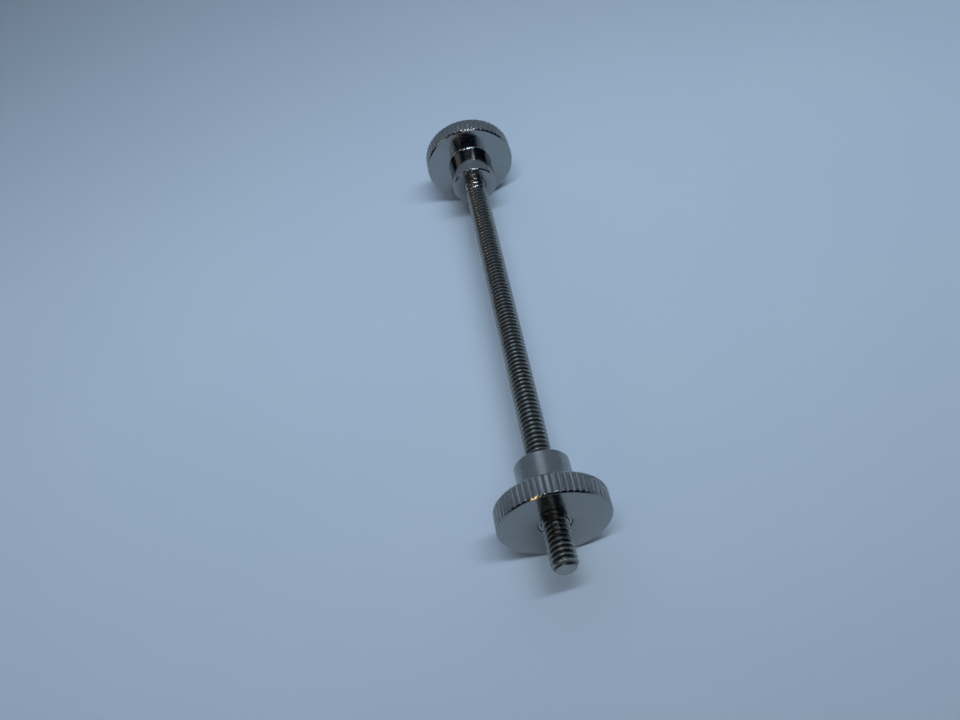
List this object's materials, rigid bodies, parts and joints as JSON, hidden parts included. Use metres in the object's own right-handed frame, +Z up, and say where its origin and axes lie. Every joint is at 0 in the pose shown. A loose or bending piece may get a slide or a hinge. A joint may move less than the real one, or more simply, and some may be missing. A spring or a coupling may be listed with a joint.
{
  "type": "threaded tie rod with knurled thumb nut",
  "caption": "Threaded rod with a fixed knurled disc head and a knurled thumb nut that screws along it, hub facing hub, to clamp parts between them.",
  "frame": {"origin": "centre of the bounding box's bottom: under the middle of the rod, on the surface both discs stand on", "axes": "+Y along the rod from its free end to the fixed head, +Z up, +X across"},
  "size_m": [0.027, 0.1482, 0.027],
  "materials": {
    "rod_steel": "bright rolled thread, lightly oiled",
    "head_aluminium": "fine turned, polished faces, straight knurl",
    "nut_aluminium": "fine turned, polished face, satin hub, straight knurl",
    "insert_steel": "bright turned"
  },
  "bodies": {
    "rod_and_head": {"threaded_rod": "rod_steel", "knurled_head": "head_aluminium"},
    "insert": {"thread_insert": "insert_steel"},
    "nut": {"knurled_nut": "nut_aluminium"}
  },
  "joints": [
    {"name": "nut_travel", "type": "slide", "parent": "rod_and_head", "child": "insert", "axis": [0, 1, 0], "range_m": [-0.01016, 0.09906]},
    {"name": "nut_turn", "type": "hinge", "parent": "insert", "child": "nut", "pos_m": [0, -0.05465, 0.01349], "axis": [0, 1, 0], "range_deg": [-2880, 28080]}
  ],
  "couplings": [
    {"joint": "nut_travel", "follows": "nut_turn", "m_per_rad": 0.00020213}
  ]
}
